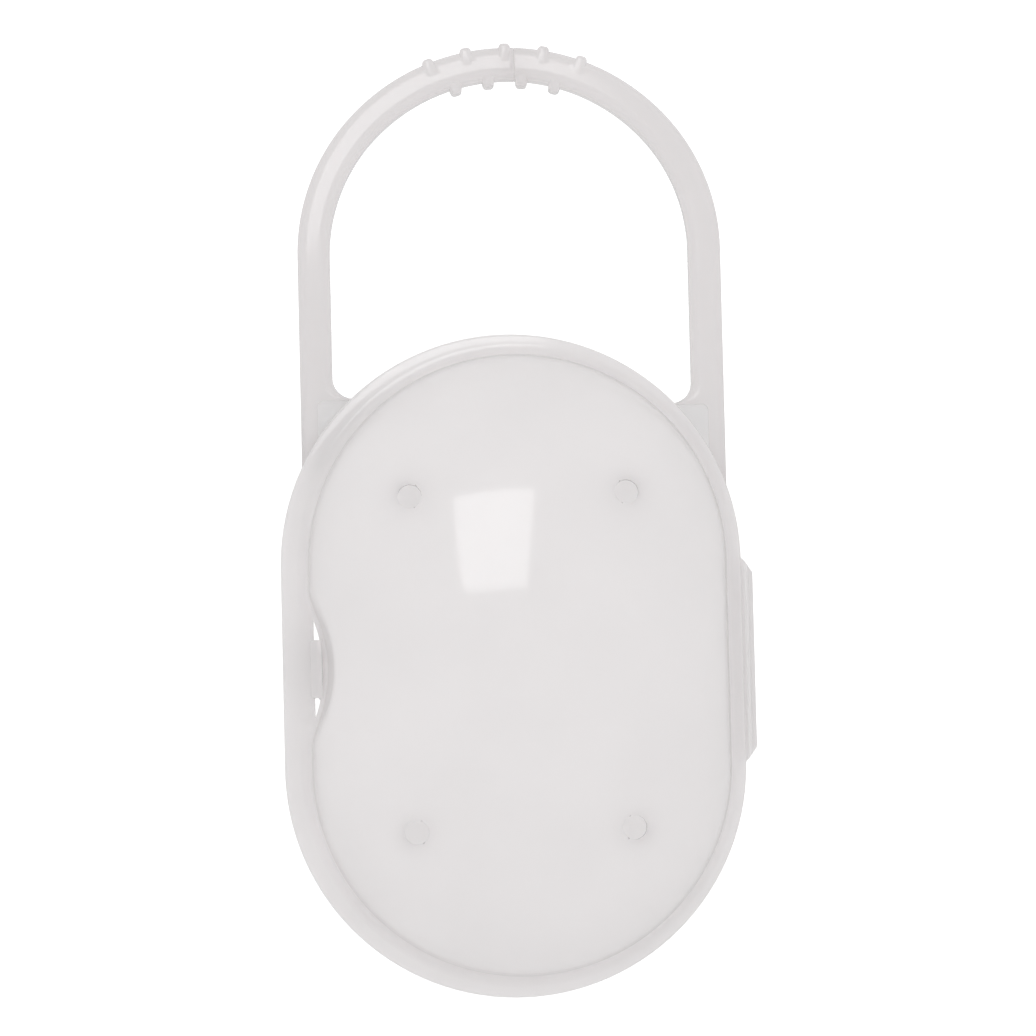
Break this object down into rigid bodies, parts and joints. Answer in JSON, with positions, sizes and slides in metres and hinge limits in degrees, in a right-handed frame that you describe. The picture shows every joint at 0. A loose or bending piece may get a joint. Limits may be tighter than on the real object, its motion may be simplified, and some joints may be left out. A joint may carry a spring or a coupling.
{
  "type": "pacifier sterilizer case",
  "caption": "Oval two-part case of milky plastic that opens on a film hinge, with a snap tongue in a thumb recess, steam vents in the lid and a split carrying handle.",
  "frame": {"origin": "middle of the flat that the base rests on", "axes": "+Z out of the lid, +Y towards the handle, +X towards the hinge"},
  "size_m": [0.0698, 0.1416, 0.044],
  "materials": {
    "milky_pp": "translucent, glossy moulded polypropylene"
  },
  "bodies": {
    "base": {"base_shell": "milky_pp", "handle_root_left": "milky_pp", "handle_root_right": "milky_pp", "hinge_base_leaf": "milky_pp", "hinge_film": "milky_pp"},
    "lid": {"lid_shell": "milky_pp", "hinge_lid_leaf": "milky_pp", "latch_keeper": "milky_pp"},
    "latch": {"latch_tongue": "milky_pp"},
    "handle_left": {"handle_arm_left": "milky_pp"},
    "handle_right": {"handle_arm_right": "milky_pp"}
  },
  "joints": [
    {"name": "lid_hinge", "type": "hinge", "parent": "base", "child": "lid", "pos_m": [0.0349, 0, 0.022], "axis": [0, 1, 0], "range_deg": [0, 180], "deforming": ["hinge_film"]},
    {"name": "latch_flex", "type": "hinge", "parent": "base", "child": "latch", "pos_m": [-0.0295, 0, 0.013], "axis": [0, 1, 0], "range_deg": [0, 1.2], "stiffness_Nm_per_rad": 0.02},
    {"name": "handle_left_flex", "type": "hinge", "parent": "base", "child": "handle_left", "pos_m": [-0.0291, 0.04645, 0.01935], "axis": [1, 0, 0], "range_deg": [-12, 12], "stiffness_Nm_per_rad": 0.3},
    {"name": "handle_right_flex", "type": "hinge", "parent": "base", "child": "handle_right", "pos_m": [0.0291, 0.04645, 0.01935], "axis": [1, 0, 0], "range_deg": [-12, 12], "stiffness_Nm_per_rad": 0.3}
  ]
}
